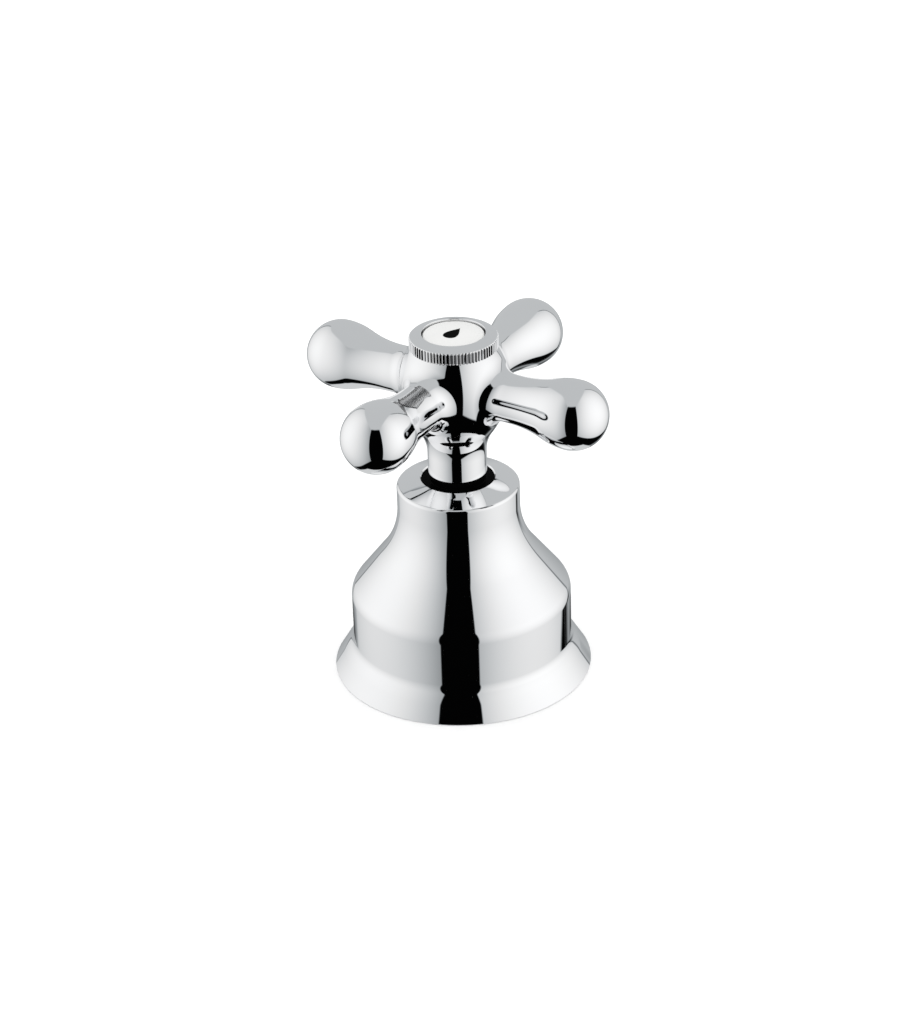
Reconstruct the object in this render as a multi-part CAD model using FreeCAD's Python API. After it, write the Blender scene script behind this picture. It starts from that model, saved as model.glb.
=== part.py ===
import FreeCAD, Part
import math
import os

# Deck-mounted cross handle tap. Millimetres, +Z up, the axis of the tap on Z, the deck at Z = 0.
# The arms of the closed tap point along X and Y.

Vector = FreeCAD.Vector
centre = Vector(0, 0, 0)
up = Vector(0, 0, 1)

# Clearances
running_gap = 0.08          # radial, between a turning piece and what guides it
slip_gap = 0.05             # radial, between pieces that are screwed or pushed together
end_gap = 0.2               # axial, where two pieces mustn't bind
past = 1.0                  # how far a cutting shape runs past the faces it cuts
hair = 0.01                 # lengths that differ by less count as equal

# Bell escutcheon, outside
foot_radius = 30.0
foot_edge = 0.2             # small bevel where the foot stands on the deck
flare_radius = 28.0         # the foot's flare is a full arc that leans in towards the band
flare_top = 6.3             # where flare and band would meet in a sharp corner
band_cove_radius = 1.6      # hollow rounding in that corner
band_radius = 25.5
shoulder_radius = 4.0       # rounding between band and cone
shoulder_height = 19.9      # where band and cone would meet in a sharp corner
cone_fall = 37.8            # degrees that the cone's wall leans from upright
neck_radius = 14.1
neck_cove_radius = 20.0
neck_rim_radius = 0.8
bell_height = 48.6          # top of the mouth's rim
mouth_radius = 8.4
crown_slope = 18.3          # degrees, the bell's top face falls outwards
mouth_edge = 0.25           # bevel at the mouth and at other small rims
mouth_edge_depth = 0.375    # the bevel's depth below the rim, in the mouth

# Bell escutcheon, inside
bell_wall = 1.8
neck_thread_radius = 12.0   # M24x1
crown_wall = 3.4            # from the mouth's rim down to the ceiling
gasket_height = 1.6
gasket_width = 2.4
gasket_inset = 2.6          # from the foot's edge to the gasket's recess

# Headwork: G1/2 thread, M18x1 barrel, 19 mm hexagon
valve_thread_radius = 10.4775
valve_thread_length = 7.2
valve_thread_lead = 0.6     # bevel where the thread begins
valve_relief_depth = 0.9    # under the flange, where the seal ring sits
cage_radius = 9.2
cage_length = 10.8          # from the cage's rim up to the thread
chamber_radius = 7.6
seal_stand_out = 1.0        # the seat seal stands out of the cage by this much
seal_height = 2.4
seal_bore_radius = 5.2
nose_height = 0.2           # the seat seal's lower face above the deck
disc_thickness = 2.6
port_inner_radius = 2.6
port_outer_radius = 5.1
port_angle = 80.0
disc_ear_width = 3.0
disc_ear_radius = 8.5
drive_bar_width = 3.6
drive_bar_length = 12.0
drive_depth = 1.0           # the bar's depth in the moving disc
drive_bar_height = 4.0
collar_radius = 6.9
collar_thickness = 1.5
friction_washer_thickness = 0.5
window_width = 7.0
window_height = 3.0
body_flange_radius = 12.0
body_flange_thickness = 1.5
body_seal_thickness = 1.6
body_hex_flats = 19.0
body_hex_height = 5.5
barrel_radius = 9.0

# Spindle
spindle_radius = 4.5
groove_depth = 1.2          # also the thickness of the O-rings
groove_width = 1.6
groove_heights = (4.4, 7.9)  # above the friction washer
stop_turn = 90.0            # quarter turn from closed to open
stop_lug_angle = 36.0
stop_lug_radius = 6.6
stop_lug_height = 2.2
stop_slack = 0.6            # degrees left at each end of the turn
circlip_thickness = 0.8
circlip_radius = 6.4
circlip_depth = 0.8
circlip_opening = 3.2
spline_teeth = 20
spline_radius = 4.0
spline_depth = 0.45
spline_land = 0.3           # share of the pitch that each tip and each root keeps flat
spindle_spline_length = 5.4

# Extension sleeve, guide bush and spindle extension
sleeve_bore_radius = 7.4
sleeve_foot_wall = 1.6
sleeve_hex_flats = 24.0
sleeve_hex_height = 3.0
sleeve_hex_lift = 1.5       # from the headwork's hexagon up to the sleeve's
neck_thread_lift = 3.0      # from the sleeve's hexagon up to the neck thread
bush_flange_radius = 11.4
bush_flange_thickness = 1.2
bush_recess = 0.6           # the bush ends this far under the mouth's rim
bush_collar_radius = 6.3    # its collar fills the gap under the skirt
collar_gap = 0.3            # between the collar and the turning skirt
rod_radius = 4.5
socket_radius = 5.9
socket_roof = 0.8
grub_screw_radius = 1.5
grub_screw_key = 0.75       # radius of the key's recess
grub_screw_floor = 0.7      # left under the recess

# Cross handle
handle_gap = 1.4            # from the bell's mouth up to the skirt
skirt_radius = 6.75
skirt_straight = 5.0
hub_radius = 12.5
hub_belly_height = 23.0     # the hub's widest place, above the skirt's foot
hub_belly_radius = 21.0     # rounding of the hub below its widest place
hub_top_radius = 9.7
handle_height = 31.3
arm_height = 21.9           # the arms' axis above the skirt's foot
arm_neck_radius = 5.5
arm_end_radius = 7.95
arm_end_distance = 31.2     # centre of the rounded end, from the tap's axis
arm_swell_radius = 18.0
arm_cove_radius = 29.0
arm_fillet = 5.0
skirt_bore_radius = 5.2
insert_radius = 5.6
insert_length = 10.0
web_thickness = 2.5
screw_well_radius = 5.5
screw_well_depth = 5.3
ring_thread_radius = 8.0    # M16x1
ring_thread_length = 5.5
ring_seal_thickness = 0.9
ring_seal_height = 1.1

# Handle screw, M5
screw_radius = 2.5
screw_head_radius = 4.25
screw_head_height = 3.0
screw_length = 14.0
screw_key_flats = 4.0
screw_key_depth = 1.8
lock_washer_radius = 4.5
lock_washer_thickness = 1.1
lock_washer_slit = 0.9

# Index ring and button
ring_radius = 10.1
knurl_teeth = 79            # 0.8 mm straight knurl
knurl_depth = 0.32
knurl_land = 0.2
knurl_height = 2.3
ring_bevel = 0.3
ring_rise = 0.8             # the ring's top face rises this much to its hole
button_hole_radius = 7.2
button_seat_depth = 2.7
ring_floor = 1.2
ring_spigot_wall = 1.6
button_sink = 0.45          # the button's edge below the hole's rim
button_dome = 0.25
button_edge = 0.35

# Radii and heights that follow from the sizes above
gasket_outer = foot_radius - gasket_inset - slip_gap
gasket_inner = gasket_outer - gasket_width
ring_seal_mouth = ring_thread_radius + ring_seal_thickness + slip_gap
seal_low = nose_height
cage_low = seal_low + seal_stand_out
fixed_disc_low = seal_low + seal_height
moving_disc_low = fixed_disc_low + disc_thickness
moving_disc_high = moving_disc_low + disc_thickness
bar_low = moving_disc_high - drive_depth
bar_high = bar_low + drive_bar_height
collar_high = bar_high + collar_thickness
chamber_high = collar_high + friction_washer_thickness
valve_thread_low = cage_low + cage_length
valve_thread_high = valve_thread_low + valve_thread_length
body_flange_low = valve_thread_high + body_seal_thickness + end_gap
body_flange_high = body_flange_low + body_flange_thickness
body_hex_high = body_flange_high + body_hex_height
ceiling = bell_height - crown_wall
sleeve_high = ceiling - bush_flange_thickness
socket_high = sleeve_high - end_gap
socket_bore_high = socket_high - socket_roof
spindle_high = socket_bore_high - end_gap
spindle_neck_high = spindle_high - spindle_spline_length
socket_low = spindle_neck_high + end_gap
circlip_high = spindle_neck_high - circlip_depth
barrel_high = circlip_high - circlip_thickness
stop_low = barrel_high - stop_lug_height - end_gap
sleeve_shoulder = barrel_high + end_gap
sleeve_hex_low = body_hex_high + sleeve_hex_lift
sleeve_hex_high = sleeve_hex_low + sleeve_hex_height
neck_thread_low = sleeve_hex_high + neck_thread_lift
skirt_low = bell_height + handle_gap
handle_high = skirt_low + handle_height
ring_thread_low = handle_high - ring_thread_length
web_high = ring_thread_low - screw_well_depth
web_low = web_high - web_thickness
insert_low = web_low - insert_length
extension_high = web_low - end_gap
top_spline_low = insert_low - end_gap
arm_axis = skirt_low + arm_height


def at(radius, height):
    return Vector(radius, 0, height)


def turned(edges):
    """A solid of revolution about Z from a closed outline in the XZ plane."""
    return Part.Face(Part.Wire(Part.__sortEdges__(edges))).revolve(centre, up, 360)


def turned_points(points):
    corners = [at(radius, height) for radius, height in points]
    return Part.Face(Part.makePolygon(corners + corners[:1])).revolve(centre, up, 360)


def disc(radius, low, high):
    return Part.makeCylinder(radius, high - low, Vector(0, 0, low))


def tube(outer, inner, low, high):
    return turned_points([(inner, low), (outer, low), (outer, high), (inner, high)])


def line(start, end):
    return Part.LineSegment(start, end).toShape()


def around(centre_point, radius, degrees):
    angle = math.radians(degrees)
    return centre_point + Vector(radius * math.cos(angle), 0, radius * math.sin(angle))


def round_arc(centre_point, radius, first, last):
    """An arc in the XZ plane, about a centre, between two angles in degrees."""
    points = [around(centre_point, radius, angle) for angle in (first, (first + last) / 2, last)]
    return Part.Arc(*points).toShape()


def double_arc(start, end, end_radius):
    """Two arcs that meet smoothly, upright at start and at end: the one at start hollow, the one at end full.

    Only the full arc's radius is given and the hollow one takes what is left. Returns the two arcs."""
    step = end.x - start.x
    rise = end.z - start.z
    both_radii = (step ** 2 + rise ** 2) / (2 * step)
    hollow_radius = both_radii - end_radius
    turn = math.degrees(math.asin(rise / both_radii))
    hollow = round_arc(at(start.x + hollow_radius, start.z), hollow_radius, 180, 180 - turn)
    full = round_arc(at(end.x - end_radius, end.z), end_radius, -turn, 0)
    return hollow, full


def hexagon(flats, low, high):
    corner = flats / 2 / math.cos(math.radians(30))
    points = [Vector(corner * math.cos(math.radians(60 * i)), corner * math.sin(math.radians(60 * i)), low)
              for i in range(7)]
    return Part.Face(Part.makePolygon(points)).extrude(Vector(0, 0, high - low))


def toothed(teeth, tip, root, low, high, land):
    """A prism with straight teeth; land is the share of the pitch that each tip and each root keeps flat."""
    pitch = 2 * math.pi / teeth
    half = land / 2
    outline = ((root, -half), (root, half), (tip, 0.5 - half), (tip, 0.5 + half))
    points = []
    for tooth in range(teeth):
        for radius, place in outline:
            angle = (tooth + place) * pitch
            points.append(Vector(radius * math.cos(angle), radius * math.sin(angle), low))
    return Part.Face(Part.makePolygon(points + points[:1])).extrude(Vector(0, 0, high - low))


def splines(clearance, low, high):
    """The toothed end that is on both spindles; with a clearance it is the hole for one."""
    tip = spline_radius + clearance
    return toothed(spline_teeth, tip, tip - spline_depth, low, high, spline_land)


def sector(outer, inner, low, high, middle, width):
    """A piece of a ring between two radii, width degrees wide about the direction middle."""
    shape = Part.makeCylinder(outer, high - low, Vector(0, 0, low), up, width)
    shape = shape.cut(disc(inner, low - past, high + past))
    return shape.rotate(centre, up, middle - width / 2)


def torus(radius, thickness, height):
    return Part.makeTorus(radius, thickness / 2, Vector(0, 0, height))


# ---- bell escutcheon ----

def foot_arcs():
    """The foot's flare and the hollow rounding above it: both centres, and the flare's angles in degrees."""
    step = foot_radius - band_radius
    rise = flare_top - foot_edge
    half = math.hypot(step, rise) / 2
    off_chord = math.sqrt(flare_radius ** 2 - half ** 2) / (2 * half)
    flare_centre = at(foot_radius - step / 2 - rise * off_chord, foot_edge + rise / 2 - step * off_chord)
    both_radii = flare_radius + band_cove_radius
    cove_reach = band_radius + band_cove_radius - flare_centre.x
    cove_centre = flare_centre + Vector(cove_reach, 0, math.sqrt(both_radii ** 2 - cove_reach ** 2))
    flare_low = math.degrees(math.asin((foot_edge - flare_centre.z) / flare_radius))
    flare_high = math.degrees(math.acos(cove_reach / both_radii))
    return flare_centre, cove_centre, flare_low, flare_high


def bell_outline(inset, low):
    """The bell's outside from the foot to the neck, moved inwards by inset, as edges and their last point."""
    flare_centre, cove_centre, flare_low, flare_high = foot_arcs()
    flare = flare_radius - inset
    foot = around(flare_centre, flare, flare_low)
    lean = math.radians(cone_fall)
    shoulder_reach = math.tan(lean / 2)
    shoulder_centre = at(band_radius - shoulder_radius, shoulder_height - shoulder_radius * shoulder_reach)
    sharp_neck = shoulder_height + (band_radius - neck_radius) / math.tan(lean)
    neck_centre = at(neck_radius + neck_cove_radius, sharp_neck + neck_cove_radius * shoulder_reach)
    shoulder = shoulder_radius - inset
    neck_cove = neck_cove_radius + inset
    edges = [
        line(at(foot.x - foot_edge, low), foot),
        round_arc(flare_centre, flare, flare_low, flare_high),
        round_arc(cove_centre, band_cove_radius + inset, 180 + flare_high, 180),
        line(at(band_radius - inset, cove_centre.z), around(shoulder_centre, shoulder, 0)),
        round_arc(shoulder_centre, shoulder, 0, cone_fall),
        line(around(shoulder_centre, shoulder, cone_fall), around(neck_centre, neck_cove, 180 + cone_fall)),
        round_arc(neck_centre, neck_cove, 180 + cone_fall, 180),
    ]
    return edges, around(neck_centre, neck_cove, 180)


def make_bell():
    edges, neck_start = bell_outline(0, 0)
    crown = math.radians(crown_slope)
    rim_outer = neck_radius - neck_rim_radius
    crown_drop = (rim_outer - mouth_radius) * math.tan(crown)
    rim_height = bell_height - crown_drop - neck_rim_radius / math.cos(crown)
    rim_centre = at(rim_outer, rim_height)
    rim_end = around(rim_centre, neck_rim_radius, 90 - crown_slope)
    mouth = at(mouth_radius + mouth_edge, bell_height - mouth_edge * math.tan(crown))
    mouth_low = at(mouth_radius, bell_height - mouth_edge_depth)
    edges += [
        line(neck_start, around(rim_centre, neck_rim_radius, 0)),
        round_arc(rim_centre, neck_rim_radius, 0, 90 - crown_slope),
        line(rim_end, mouth),
        line(mouth, mouth_low),
        line(mouth_low, at(mouth_radius, 0)),
        line(at(mouth_radius, 0), at(foot_radius - foot_edge, 0)),
    ]
    bell = turned(edges)
    inner, inner_top = bell_outline(bell_wall, -past)
    inner += [
        line(inner_top, at(0, inner_top.z)),
        line(at(0, inner_top.z), at(0, -past)),
        line(at(0, -past), inner[0].Vertexes[0].Point),
    ]
    hollow = turned(inner).cut(disc(foot_radius, neck_thread_low, bell_height))
    hollow = hollow.fuse(disc(neck_thread_radius, neck_thread_low - past, ceiling))
    ledge = tube(foot_radius, gasket_inner, gasket_height, gasket_height + bell_wall)
    shell = bell.cut(hollow.cut(ledge))
    return shell.cut(disc(gasket_outer + slip_gap, -past, gasket_height))


def make_base_gasket():
    return tube(gasket_outer, gasket_inner, 0, gasket_height)


# ---- headwork ----

def make_headwork_body():
    bore = spindle_radius + running_gap
    body = turned_points([
        (chamber_radius, cage_low),
        (cage_radius, cage_low),
        (cage_radius, valve_thread_low - valve_thread_lead),
        (valve_thread_radius, valve_thread_low),
        (valve_thread_radius, valve_thread_high),
        (valve_thread_radius - valve_relief_depth, valve_thread_high),
        (valve_thread_radius - valve_relief_depth, body_flange_low),
        (body_flange_radius, body_flange_low),
        (body_flange_radius, body_flange_high),
        (barrel_radius, body_flange_high),
        (barrel_radius, barrel_high),
        (bore, barrel_high),
        (bore, chamber_high),
        (chamber_radius, chamber_high),
    ])
    hexed = hexagon(body_hex_flats, body_flange_high, body_hex_high)
    body = body.fuse(hexed.cut(disc(barrel_radius - past, body_flange_high - past, body_hex_high + past)))
    window_low = moving_disc_high + end_gap
    for direction in (0, 90):
        window = Part.makeBox(2 * foot_radius, window_width, window_height,
                              Vector(-foot_radius, -window_width / 2, window_low))
        body = body.cut(window.rotate(centre, up, direction))
    slot_reach = disc_ear_radius + slip_gap
    slot_half = disc_ear_width / 2 + slip_gap
    body = body.cut(Part.makeBox(2 * slot_reach, 2 * slot_half, moving_disc_low - cage_low + past,
                                 Vector(-slot_reach, -slot_half, cage_low - past)))
    recess_turn = stop_turn + stop_lug_angle + 2 * stop_slack
    recess = sector(stop_lug_radius + 2 * running_gap, spindle_radius - past, stop_low, barrel_high + past,
                    stop_turn / 2, recess_turn)
    return body.cut(recess).removeSplitter()


def make_headwork_seal_ring():
    thickness = body_seal_thickness
    radius = valve_thread_radius - valve_relief_depth + slip_gap + thickness / 2
    return torus(radius, thickness, body_flange_low - thickness / 2)


def make_seat_seal():
    return tube(chamber_radius - running_gap, seal_bore_radius, seal_low, fixed_disc_low)


def with_ports(shape, low, high, direction):
    for middle in (direction, direction + 180):
        port = sector(port_outer_radius, port_inner_radius, low - past, high + past, middle, port_angle)
        shape = shape.cut(port)
    return shape


def make_fixed_disc():
    body = disc(chamber_radius - running_gap, fixed_disc_low, moving_disc_low)
    ears = Part.makeBox(2 * disc_ear_radius, disc_ear_width, disc_thickness,
                        Vector(-disc_ear_radius, -disc_ear_width / 2, fixed_disc_low))
    body = body.fuse(ears.common(disc(disc_ear_radius, fixed_disc_low, moving_disc_low)))
    return with_ports(body, fixed_disc_low, moving_disc_low, 0).removeSplitter()


def drive_bar(spread, low, high):
    length = drive_bar_length + 2 * spread
    width = drive_bar_width + 2 * spread
    return Part.makeBox(length, width, high - low, Vector(-length / 2, -width / 2, low))


def make_moving_disc():
    body = disc(chamber_radius - running_gap, moving_disc_low, moving_disc_high)
    body = with_ports(body, moving_disc_low, moving_disc_high, 90)
    return body.cut(drive_bar(slip_gap, bar_low, moving_disc_high + past))


def make_friction_washer():
    return tube(collar_radius, spindle_radius + running_gap, collar_high, chamber_high)


# ---- spindle ----

def make_spindle():
    spindle = drive_bar(0, bar_low, bar_high).common(disc(collar_radius, bar_low, bar_high))
    spindle = spindle.fuse(disc(collar_radius, bar_high, collar_high))
    spindle = spindle.fuse(disc(spindle_radius, bar_high, spindle_neck_high))
    for height in groove_heights:
        low = chamber_high + height - groove_width / 2
        groove = tube(spindle_radius + past, spindle_radius - groove_depth, low, low + groove_width)
        spindle = spindle.cut(groove)
    clip_high = circlip_high + slip_gap
    spindle = spindle.cut(tube(spindle_radius + past, spindle_radius - circlip_depth, barrel_high, clip_high))
    lug = sector(stop_lug_radius, spindle_radius - past, stop_low + end_gap / 2, barrel_high - end_gap / 2,
                 0, stop_lug_angle)
    return spindle.fuse([lug, splines(0, spindle_neck_high, spindle_high)]).removeSplitter()


def make_spindle_orings():
    radius = spindle_radius - groove_depth / 2 + slip_gap / 2
    rings = [torus(radius, groove_depth, chamber_high + height) for height in groove_heights]
    return Part.makeCompound(rings)


def make_stem_circlip():
    inner = spindle_radius - circlip_depth + slip_gap
    clip = tube(circlip_radius, inner, barrel_high, circlip_high)
    opening = Part.makeBox(circlip_radius + past, circlip_opening, circlip_thickness + 2 * past,
                           Vector(-circlip_radius - past, -circlip_opening / 2, barrel_high - past))
    return clip.cut(opening)


# ---- extension ----

def make_extension_sleeve():
    sleeve = turned_points([
        (barrel_radius + slip_gap, body_hex_high + end_gap),
        (barrel_radius + sleeve_foot_wall, body_hex_high + end_gap),
        (neck_thread_radius - slip_gap, sleeve_hex_low),
        (neck_thread_radius - slip_gap, sleeve_high),
        (sleeve_bore_radius, sleeve_high),
        (sleeve_bore_radius, sleeve_shoulder),
        (barrel_radius + slip_gap, sleeve_shoulder),
    ])
    grip = hexagon(sleeve_hex_flats, sleeve_hex_low, sleeve_hex_high)
    grip = grip.cut(disc(neck_thread_radius - past, sleeve_hex_low - past, sleeve_high))
    return sleeve.fuse(grip).removeSplitter()


def make_guide_bush():
    bore = rod_radius + running_gap
    spigot = mouth_radius - slip_gap
    return turned_points([
        (bore, sleeve_high),
        (bush_flange_radius, sleeve_high),
        (bush_flange_radius, ceiling),
        (spigot, ceiling),
        (spigot, bell_height - bush_recess - mouth_edge),
        (spigot - mouth_edge, bell_height - bush_recess),
        (bush_collar_radius, bell_height - bush_recess),
        (bush_collar_radius, skirt_low - collar_gap),
        (bore, skirt_low - collar_gap),
    ])


def grub_hole(radius, start):
    height = (socket_low + socket_bore_high) / 2
    return Part.makeCylinder(radius, socket_radius + 1 - start, Vector(start, 0, height), Vector(1, 0, 0))


def make_spindle_extension():
    rod = disc(socket_radius, socket_low, socket_high).fuse(disc(rod_radius, socket_high, top_spline_low))
    rod = rod.fuse(splines(0, top_spline_low, extension_high))
    rod = rod.cut(splines(slip_gap, socket_low - past, socket_bore_high))
    rod = rod.cut(grub_hole(grub_screw_radius + slip_gap, 0))
    return rod.cut(disc(screw_radius + slip_gap, screw_low - past, extension_high + past)).removeSplitter()


def make_extension_grub_screw():
    start = spline_radius + slip_gap
    height = (socket_low + socket_bore_high) / 2
    screw = Part.makeCylinder(grub_screw_radius, socket_radius - slip_gap - start, Vector(start, 0, height),
                              Vector(1, 0, 0))
    return screw.cut(grub_hole(grub_screw_key, start + grub_screw_floor))


# ---- cross handle ----

def arm():
    """One arm along +X on the arms' axis: neck, cove, swell and rounded end, turned about its own axis."""
    end = Vector(arm_end_distance, 0, 0)
    swell_centre = Vector(arm_end_distance, 0, arm_end_radius - arm_swell_radius)
    cove_height = arm_neck_radius + arm_cove_radius
    reach = math.sqrt((arm_swell_radius + arm_cove_radius) ** 2 - (cove_height - swell_centre.z) ** 2)
    cove_centre = Vector(arm_end_distance - reach, 0, cove_height)
    turn = math.degrees(math.atan2(cove_height - swell_centre.z, -reach))
    edges = [
        line(Vector(0, 0, 0), Vector(0, 0, arm_neck_radius)),
        line(Vector(0, 0, arm_neck_radius), around(cove_centre, arm_cove_radius, 270)),
        round_arc(cove_centre, arm_cove_radius, 270, turn + 180),
        round_arc(swell_centre, arm_swell_radius, turn, 90),
        round_arc(end, arm_end_radius, 90, 0),
        line(end + Vector(arm_end_radius, 0, 0), Vector(0, 0, 0)),
    ]
    shape = Part.Face(Part.Wire(edges)).revolve(centre, Vector(1, 0, 0), 360)
    return shape.translate(Vector(0, 0, arm_axis))


def hub_outline():
    flare_low = at(skirt_radius, skirt_low + skirt_straight)
    belly = at(hub_radius, skirt_low + hub_belly_height)
    flare, under_belly = double_arc(flare_low, belly, hub_belly_radius)
    drop = handle_high - belly.z
    step = hub_radius - hub_top_radius
    top_radius = (step ** 2 + drop ** 2) / (2 * step)
    top_turn = math.degrees(math.asin(drop / top_radius))
    return [
        line(at(0, skirt_low), at(skirt_radius, skirt_low)),
        line(at(skirt_radius, skirt_low), flare_low),
        flare,
        under_belly,
        round_arc(at(hub_radius - top_radius, belly.z), top_radius, 0, top_turn),
        line(at(hub_top_radius, handle_high), at(0, handle_high)),
        line(at(0, handle_high), at(0, skirt_low)),
    ]


def is_arm_root(edge):
    """True for the edges along which an arm runs into the hub."""
    middle = edge.valueAt((edge.FirstParameter + edge.LastParameter) / 2)
    off_arm_axis = math.hypot(min(abs(middle.x), abs(middle.y)), middle.z - arm_axis)
    on_hub = math.hypot(middle.x, middle.y) < hub_radius
    return on_hub and abs(off_arm_axis - arm_neck_radius) < hair and edge.BoundBox.ZLength > hair


def make_cross_handle():
    hub = turned(hub_outline()).rotate(centre, up, 45)
    arms = [arm().rotate(centre, up, 90 * i) for i in range(4)]
    handle = hub.fuse(arms).removeSplitter()
    roots = [edge for edge in handle.Edges if is_arm_root(edge)]
    handle = handle.makeFillet(arm_fillet, roots)
    holes = [
        disc(skirt_bore_radius, skirt_low - past, insert_low),
        disc(insert_radius, insert_low, web_low),
        disc(screw_radius + slip_gap, web_low - past, web_high + past),
        disc(screw_well_radius, web_high, handle_high + past),
        disc(ring_thread_radius, ring_thread_low, handle_high + past),
        disc(ring_seal_mouth, handle_high - ring_seal_height, handle_high + past),
    ]
    return handle.cut(holes)


def make_spline_insert():
    insert = disc(insert_radius - slip_gap, insert_low, web_low)
    return insert.cut(splines(slip_gap, insert_low - past, web_low + past))


def make_lock_washer():
    washer = tube(lock_washer_radius, screw_radius + 2 * slip_gap, web_high, web_high + lock_washer_thickness)
    slit = Part.makeBox(lock_washer_radius + past, lock_washer_slit, lock_washer_thickness + 2 * past,
                        Vector(0, -lock_washer_slit / 2, web_high - past))
    return washer.cut(slit)


screw_head_low = web_high + lock_washer_thickness
screw_head_high = screw_head_low + screw_head_height
screw_low = screw_head_low - screw_length


def make_handle_screw():
    screw = disc(screw_radius, screw_low, screw_head_low)
    screw = screw.fuse(disc(screw_head_radius, screw_head_low, screw_head_high))
    key = hexagon(screw_key_flats, screw_head_high - screw_key_depth, screw_head_high + past)
    return screw.cut(key).removeSplitter()


# ---- index ring and button ----

knurl_high = handle_high + knurl_height
ring_rim = knurl_high + ring_bevel
ring_top = ring_rim + ring_rise
button_seat = ring_top - button_seat_depth


def make_index_ring():
    spigot = ring_thread_radius - slip_gap
    body = turned_points([
        (0, button_seat - ring_floor),
        (spigot - ring_spigot_wall, button_seat - ring_floor),
        (spigot - ring_spigot_wall, ring_thread_low + end_gap),
        (spigot, ring_thread_low + end_gap),
        (spigot, handle_high),
        (ring_radius, handle_high),
        (ring_radius, knurl_high),
        (ring_radius - ring_bevel, ring_rim),
        (button_hole_radius + mouth_edge, ring_top),
        (button_hole_radius, ring_top - mouth_edge),
        (button_hole_radius, button_seat),
        (0, button_seat),
    ])
    knurl = toothed(knurl_teeth, ring_radius, ring_radius - knurl_depth, handle_high - past, ring_rim + past,
                    knurl_land)
    outside = tube(ring_radius + past, ring_radius - knurl_depth - past, handle_high - past, ring_rim + past)
    return body.cut(outside.cut(knurl))


def make_index_ring_seal():
    thickness = ring_seal_thickness
    return torus(ring_thread_radius + thickness / 2, thickness, handle_high - ring_seal_height / 2)


def make_index_button():
    radius = button_hole_radius - 2 * slip_gap
    edge_high = ring_top - button_sink
    inner = radius - button_edge
    dome_radius = (inner ** 2 + button_dome ** 2) / (2 * button_dome)
    dome_centre = at(0, edge_high + button_dome - dome_radius)
    dome_angle = math.degrees(math.acos(inner / dome_radius))
    return turned([
        line(at(0, button_seat), at(radius, button_seat)),
        line(at(radius, button_seat), at(radius, edge_high - button_edge)),
        round_arc(at(inner, edge_high - button_edge), button_edge, 0, 90),
        round_arc(dome_centre, dome_radius, dome_angle, 90),
        line(at(0, edge_high + button_dome), at(0, button_seat)),
    ])


pieces = {
    "bell_escutcheon": make_bell,
    "base_gasket": make_base_gasket,
    "guide_bush": make_guide_bush,
    "extension_sleeve": make_extension_sleeve,
    "headwork_body": make_headwork_body,
    "headwork_seal_ring": make_headwork_seal_ring,
    "seat_seal": make_seat_seal,
    "fixed_ceramic_disc": make_fixed_disc,
    "moving_ceramic_disc": make_moving_disc,
    "friction_washer": make_friction_washer,
    "spindle": make_spindle,
    "spindle_orings": make_spindle_orings,
    "stem_circlip": make_stem_circlip,
    "spindle_extension": make_spindle_extension,
    "extension_grub_screw": make_extension_grub_screw,
    "cross_handle": make_cross_handle,
    "spline_insert": make_spline_insert,
    "lock_washer": make_lock_washer,
    "handle_screw": make_handle_screw,
    "index_ring": make_index_ring,
    "index_ring_seal": make_index_ring_seal,
    "index_button": make_index_button,
}

os.makedirs("parts", exist_ok=True)
for name, make in pieces.items():
    shape = make()
    box = shape.BoundBox
    print(f"{name:22s} solids {len(shape.Solids)} valid {shape.isValid()} volume {shape.Volume:9.1f}"
          f"  z {box.ZMin:6.2f} to {box.ZMax:6.2f}  reach {max(box.XMax, box.YMax):5.2f}")
    shape.exportStep(f"parts/{name}.step")
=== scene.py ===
import bpy
import bmesh
import math
from mathutils import Matrix, Vector


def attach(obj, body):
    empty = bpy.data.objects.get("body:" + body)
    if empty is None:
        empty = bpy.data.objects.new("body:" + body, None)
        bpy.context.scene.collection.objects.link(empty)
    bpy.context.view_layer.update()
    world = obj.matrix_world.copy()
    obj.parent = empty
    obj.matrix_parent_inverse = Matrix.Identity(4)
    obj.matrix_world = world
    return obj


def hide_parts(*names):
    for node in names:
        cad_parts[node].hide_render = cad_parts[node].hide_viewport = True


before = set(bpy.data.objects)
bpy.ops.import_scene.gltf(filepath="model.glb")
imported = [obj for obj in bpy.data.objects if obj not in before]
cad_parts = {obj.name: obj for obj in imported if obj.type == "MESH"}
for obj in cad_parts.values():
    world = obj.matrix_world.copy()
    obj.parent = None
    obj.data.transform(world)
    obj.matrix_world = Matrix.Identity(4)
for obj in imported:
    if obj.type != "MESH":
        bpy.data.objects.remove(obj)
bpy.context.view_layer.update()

mm = 0.001  # sizes are in millimetres and degrees, unless a note says otherwise
samePoint = 1e-4  # points of an outline that are closer than this are one
mergeDistance = 0.0004  # vertices closer than this are merged
halvings = 50  # how often a search halves its range
noiseMiddle = (0.3, 0.7)  # most values of a noise lie between these


def deselectAll():
    if bpy.context.object and bpy.context.object.mode != "OBJECT":
        bpy.ops.object.mode_set(mode="OBJECT")
    bpy.ops.object.select_all(action="DESELECT")


def newest(name):
    # the primitive that was just added, under its own name
    piece = bpy.context.object
    piece.name = piece.data.name = name
    return piece


def evenArc(centre, radius, first, last, count):
    # points along an arc in this many even steps
    angles = [math.radians(first + (last - first) * i / count) for i in range(count + 1)]
    return [(centre[0] + radius * math.cos(a), centre[1] + radius * math.sin(a)) for a in angles]


def arcPoints(centre, radius, first, last, step):
    # points along an arc, no two further apart than step
    return evenArc(centre, radius, first, last, max(2, math.ceil(abs(last - first) / step)))


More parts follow.
